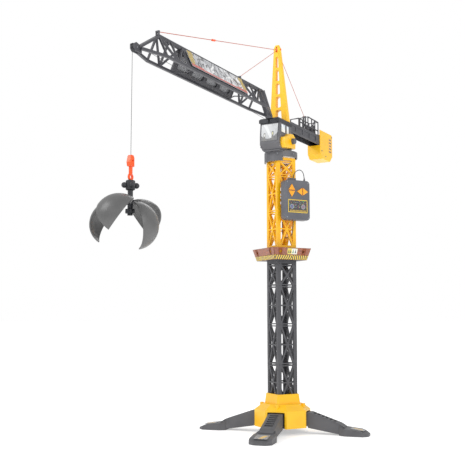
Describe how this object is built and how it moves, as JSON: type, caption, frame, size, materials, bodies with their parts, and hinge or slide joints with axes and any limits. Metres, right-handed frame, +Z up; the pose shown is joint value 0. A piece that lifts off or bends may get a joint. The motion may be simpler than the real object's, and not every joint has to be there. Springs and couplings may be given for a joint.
{
  "type": "toy tower crane",
  "caption": "Free-standing cable-controlled toy tower crane on plug-in legs, with a slewing cab, lattice boom, hoist cord and petal grab.",
  "frame": {"origin": "the mast axis at floor level, under the hub", "axes": "+X along the boom to its tip at rest, +Y to the side that carries the handset and winch knob, +Z up"},
  "size_m": [1.026, 0.4326, 1],
  "materials": {
    "yellow_plastic": "satin injection-moulded ABS",
    "grey_plastic": "fine-textured injection-moulded ABS",
    "mid_grey_plastic": "satin injection-moulded ABS",
    "petal_grey": "satin moulded polypropylene",
    "orange_plastic": "moulded ABS",
    "orange_cord": "braided polyester",
    "grey_cord": "braided polyester",
    "sign_print": "laminated printed sheet",
    "tray_print": "printed polystyrene",
    "steel": "zinc-plated",
    "cable_rubber": "soft PVC sheath",
    "white_plastic": "natural acetal",
    "board_green": "glass-fibre board",
    "dark_plastic": "satin moulded ABS"
  },
  "bodies": {
    "stand": {"base_shell": "yellow_plastic", "base_floor": "grey_plastic", "base_fasteners": "steel", "leg_front": "grey_plastic", "leg_right": "grey_plastic", "leg_back": "grey_plastic", "leg_left": "grey_plastic", "lower_mast_front": "grey_plastic", "lower_mast_back": "grey_plastic", "upper_mast_front": "yellow_plastic", "upper_mast_back": "yellow_plastic", "mast_sleeve": "grey_plastic", "walkway_floor": "grey_plastic", "walkway_wall": "tray_print", "mast_head": "white_plastic", "slew_retainer": "white_plastic", "handset_back": "mid_grey_plastic", "handset_front": "mid_grey_plastic", "battery_door": "mid_grey_plastic", "batteries": "steel", "handset_board": "board_green", "handset_cable": "cable_rubber", "cable_hank": "cable_rubber"},
    "turntable": {"turntable_housing": "grey_plastic", "cab_shell": "grey_plastic", "cab_windows": "sign_print", "cab_roof": "dark_plastic", "winch_cover": "yellow_plastic", "motors": "steel", "tower_peak": "yellow_plastic", "peak_pin": "orange_plastic", "pendants": "orange_cord", "pendant_link": "orange_plastic", "boom_ridge": "grey_plastic", "boom_side_near": "grey_plastic", "boom_side_far": "grey_plastic", "boom_signs": "sign_print", "pulley_axle": "steel", "counter_jib": "grey_plastic", "railings": "grey_plastic", "counterweight_shell": "yellow_plastic", "ballast": "steel", "hoist_cord": "grey_cord", "hoist_run": "grey_cord"},
    "winch_knob": {"winch_knob": "mid_grey_plastic"},
    "winch_drum": {"winch_drum": "white_plastic"},
    "slew_pinion": {"slew_pinion": "white_plastic"},
    "tip_pulley": {"tip_pulley": "dark_plastic"},
    "hook": {"hook_block": "orange_plastic", "hook": "orange_plastic"},
    "grab": {"grab_hub": "dark_plastic", "grab_collar": "dark_plastic"},
    "button_up": {"button_up": "yellow_plastic"},
    "button_down": {"button_down": "yellow_plastic"},
    "button_left": {"button_left": "yellow_plastic"},
    "button_right": {"button_right": "yellow_plastic"},
    "petal_1": {"petal_1": "petal_grey"},
    "petal_2": {"petal_2": "petal_grey"},
    "petal_3": {"petal_3": "petal_grey"},
    "petal_4": {"petal_4": "petal_grey"}
  },
  "joints": [
    {"name": "slew", "type": "hinge", "parent": "stand", "child": "turntable", "pos_m": [0, 0, 0.709], "axis": [0, 0, 1], "range_deg": [-175, 175]},
    {"name": "slew_pinion_spin", "type": "hinge", "parent": "turntable", "child": "slew_pinion", "pos_m": [0.03055, 0, 0.704], "axis": [0, 0, 1], "range_deg": [-705, 705]},
    {"name": "hoist", "type": "slide", "parent": "turntable", "child": "hook", "axis": [0, 0, 1], "range_m": [-0.4, 0.16], "deforming": ["hoist_cord"]},
    {"name": "winch_drum_turn", "type": "hinge", "parent": "turntable", "child": "winch_drum", "pos_m": [0.015, 0, 0.7692], "axis": [0, -1, 0], "range_deg": [-2717, 1090]},
    {"name": "winch_knob_turn", "type": "hinge", "parent": "turntable", "child": "winch_knob", "pos_m": [0.015, 0, 0.738], "axis": [0, 1, 0], "range_deg": [-2808, 1126]},
    {"name": "tip_pulley_turn", "type": "hinge", "parent": "turntable", "child": "tip_pulley", "pos_m": [0.631, 0, 0.806], "axis": [0, -1, 0], "range_deg": [-3188, 1278]},
    {"name": "grab_swivel", "type": "hinge", "parent": "hook", "child": "grab", "pos_m": [0.6382, 0, 0.536], "axis": [0, 0, 1], "continuous": true},
    {"name": "petal_1_open", "type": "hinge", "parent": "grab", "child": "petal_1", "pos_m": [0.65199, 0.00243, 0.505], "axis": [0.1736, -0.9848, 0], "range_deg": [-56, 14]},
    {"name": "petal_2_open", "type": "hinge", "parent": "grab", "child": "petal_2", "pos_m": [0.63577, 0.01379, 0.505], "axis": [0.9848, 0.1736, 0], "range_deg": [-12, 58]},
    {"name": "petal_3_open", "type": "hinge", "parent": "grab", "child": "petal_3", "pos_m": [0.62441, -0.00243, 0.505], "axis": [-0.1736, 0.9848, 0], "range_deg": [-58, 12]},
    {"name": "petal_4_open", "type": "hinge", "parent": "grab", "child": "petal_4", "pos_m": [0.64063, -0.01379, 0.505], "axis": [-0.9848, -0.1736, 0], "range_deg": [-43, 27]},
    {"name": "press_up", "type": "slide", "parent": "stand", "child": "button_up", "axis": [-0.5446, -0.8387, 0], "range_m": [0, 0.0012], "stiffness_N_per_m": 400},
    {"name": "press_down", "type": "slide", "parent": "stand", "child": "button_down", "axis": [-0.5446, -0.8387, 0], "range_m": [0, 0.0012], "stiffness_N_per_m": 400},
    {"name": "press_left", "type": "slide", "parent": "stand", "child": "button_left", "axis": [-0.5446, -0.8387, 0], "range_m": [0, 0.0012], "stiffness_N_per_m": 400},
    {"name": "press_right", "type": "slide", "parent": "stand", "child": "button_right", "axis": [-0.5446, -0.8387, 0], "range_m": [0, 0.0012], "stiffness_N_per_m": 400}
  ],
  "couplings": [
    {"joint": "slew_pinion_spin", "follows": "slew", "ratio": 4},
    {"joint": "winch_drum_turn", "follows": "hoist", "rad_per_m": 118.34},
    {"joint": "winch_knob_turn", "follows": "hoist", "rad_per_m": 122.29},
    {"joint": "tip_pulley_turn", "follows": "hoist", "rad_per_m": 138.89}
  ]
}
